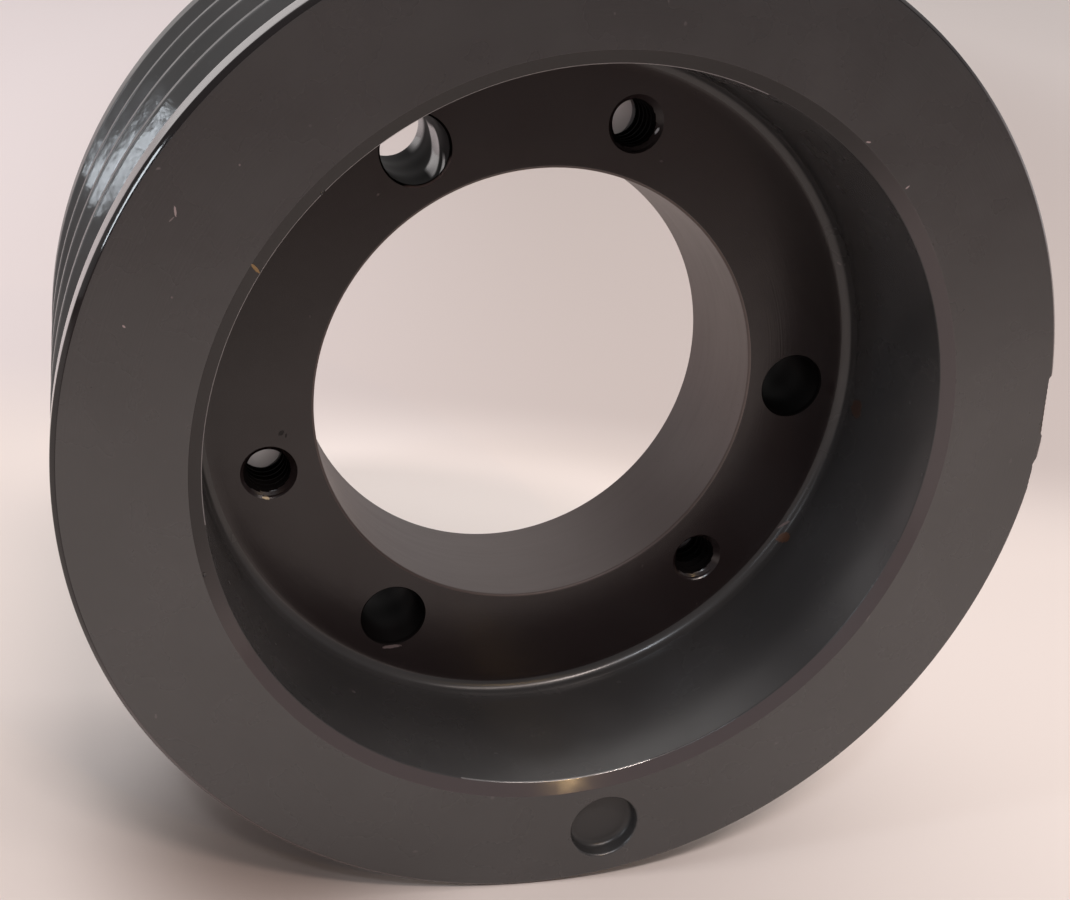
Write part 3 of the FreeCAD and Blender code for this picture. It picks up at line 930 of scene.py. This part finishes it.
def make_floor():
    """Pale table that blends into a paler backdrop behind the wheel."""
    bpy.ops.mesh.primitive_plane_add(size=FLOOR_SIZE, location=(0, 0, FLOOR))
    floor = bpy.context.object
    floor.name = "table"
    material = bpy.data.materials.new("table_cloth")
    material.use_nodes = True
    nodes = Nodes(material.node_tree)
    place = nodes.add("ShaderNodeTexCoord").outputs["Object"]
    turned_place = nodes.add("ShaderNodeVectorRotate", {"Vector": place, "Angle": -BACK_TURN}).outputs[0]
    sides, depth, _ = nodes.add("ShaderNodeSeparateXYZ", {0: turned_place}).outputs
    soft = nodes.band(depth, BACK_EDGE - EDGE_BLUR, BACK_EDGE + EDGE_BLUR)
    weave = nodes.noise(place, 900, 3)
    shade = nodes.mix(nodes.noise(place, 9, 2), NEAR_FLOOR, SHADED_FLOOR)
    # painted shade: the table turns dark in front of the wheel, standing in for the shaded room there
    shade = nodes.mix(nodes.band(depth, -0.40, -0.11, 0.85, 0.0), shade, PAINTED_FRONT_SHADE)
    contact = nodes.band(nodes.length(nodes.gap(place, CONTACT_PLACE)), 0.004, 0.029, 0.7, 0.0)
    shade = nodes.mix(contact, shade, CONTACT_SHADE)
    lit = nodes.band(nodes.length(nodes.gap(place, LIT_PLACE)), 0.02, 0.08, 0.8, 0.0)
    shade = nodes.mix(lit, shade, LIT_FLOOR)
    # painted fall of light across the backdrop: brightest at the left, darkest in the middle
    backdrop = nodes.mix(nodes.band(sides, -0.2, 0.06), BACKDROP_LEFT, BACKDROP_MIDDLE)
    backdrop = nodes.mix(nodes.band(sides, 0.25, 0.9), backdrop, BACKDROP_RIGHT)
    colour = nodes.mix(soft, shade, backdrop)
    bump = nodes.add("ShaderNodeBump", {"Height": weave, "Distance": 0.1 * MM, "Strength": 0.15})
    shader = nodes.add("ShaderNodeBsdfPrincipled", {
        "Base Color": colour,
        "Roughness": 0.7,
        "Specular IOR Level": 0.2,
        "Normal": bump.outputs[0],
    })
    nodes.add("ShaderNodeOutputMaterial", {0: shader.outputs[0]})
    floor.data.materials.append(material)


DIM_ROOM = (0.25, 0.235, 0.24, 1)
PALE_BACKDROP = (0.90, 0.85, 0.84, 1)
BRIGHT_CEILING = (1.55, 1.48, 1.44, 1)
CEILING_DIRECTION = (0.16, 0.40, 0.90)


def make_world():
    """Dim room: a pale backdrop low behind the wheel and a bright ceiling above and behind it."""
    world = bpy.data.worlds.new("room")
    bpy.context.scene.world = world
    world.use_nodes = True
    nodes = Nodes(world.node_tree)
    direction = nodes.add("ShaderNodeTexCoord").outputs["Generated"]
    parts = nodes.add("ShaderNodeSeparateXYZ", {0: direction}).outputs
    above = nodes.along(direction, Vector(CEILING_DIRECTION).normalized())
    behind = nodes.band(parts[1], -0.5, 0.2)
    low = nodes.band(parts[2], 0.12, 0.42, 1.0, 0.0)
    colour = nodes.mix(nodes.math("MULTIPLY", behind, low), DIM_ROOM, PALE_BACKDROP)
    colour = nodes.mix(nodes.band(above, 0.55, 0.95), colour, BRIGHT_CEILING)
    background = nodes.add("ShaderNodeBackground", {0: colour, 1: 1.0})
    nodes.add("ShaderNodeOutputWorld", {0: background.outputs[0]})


def add_light(name, direction, distance, size, radiance, colour, roll=0):
    """Soft box that faces the wheel; radiance is what the camera would see in it."""
    width, height = size
    data = bpy.data.lights.new(name, "AREA")
    data.shape = "RECTANGLE"
    data.size, data.size_y = width, height
    data.energy = radiance * width * height * math.pi
    data.color = colour
    lamp = bpy.data.objects.new(name, data)
    bpy.context.scene.collection.objects.link(lamp)
    towards = Vector(direction).normalized()
    lamp.location = towards * distance
    lean = Quaternion((0, 0, 1), math.radians(roll))
    lamp.rotation_euler = (towards.to_track_quat("Z", "Y") @ lean).to_euler()


def make_lights():
    cool, rosy, gold = (0.86, 0.93, 1.0), (1.0, 0.86, 0.80), (1.0, 0.66, 0.30)
    add_light("left_window", (-0.93, -0.22, 0.29), 1.6, (0.11, 0.46), 24.0, cool)
    add_light("front_window", (-0.53, -0.838, 0.10), 1.8, (0.03, 0.45), 19.0, cool, -33)
    add_light("skylight", (-0.30, -0.61, 0.74), 1.8, (0.14, 0.12), 75.0, cool)
    add_light("ceiling", (0.0, -0.58, 0.82), 1.8, (0.42, 0.12), 60.0, rosy)
    add_light("far_ceiling", (0.32, -0.50, 0.80), 1.8, (0.6, 0.14), 14.0, rosy)
    add_light("lamp", (0.25, -0.815, 0.52), 1.5, (0.022, 0.022), 620.0, gold)


CAMERA_PLACE = Vector((-57.09, -156.71, 56.45)) * MM
CAMERA_AIM = Vector((0.3017, 0.8788, -0.3697))
CAMERA_RIGHT = Vector((0.9532, -0.2709, 0.1340))
LENS = 47.58  # millimetres, on a sensor 36 mm wide
SHIFT = (0.0352, 0.0051)


def make_camera():
    data = bpy.data.cameras.new("camera")
    data.sensor_fit = "HORIZONTAL"
    data.sensor_width = 36
    data.lens = LENS
    data.shift_x, data.shift_y = SHIFT
    data.clip_start, data.clip_end = 0.005, 50
    camera = bpy.data.objects.new("camera", data)
    bpy.context.scene.collection.objects.link(camera)
    back = -CAMERA_AIM.normalized()
    right = (CAMERA_RIGHT - back * CAMERA_RIGHT.dot(back)).normalized()
    up = back.cross(right)
    camera.matrix_world = Matrix.Translation(CAMERA_PLACE) @ Matrix((right, up, back)).transposed().to_4x4()
    bpy.context.scene.camera = camera


make_pieces()
make_floor()
make_world()
make_lights()
make_camera()
bpy.context.scene.view_settings.view_transform = "Standard"
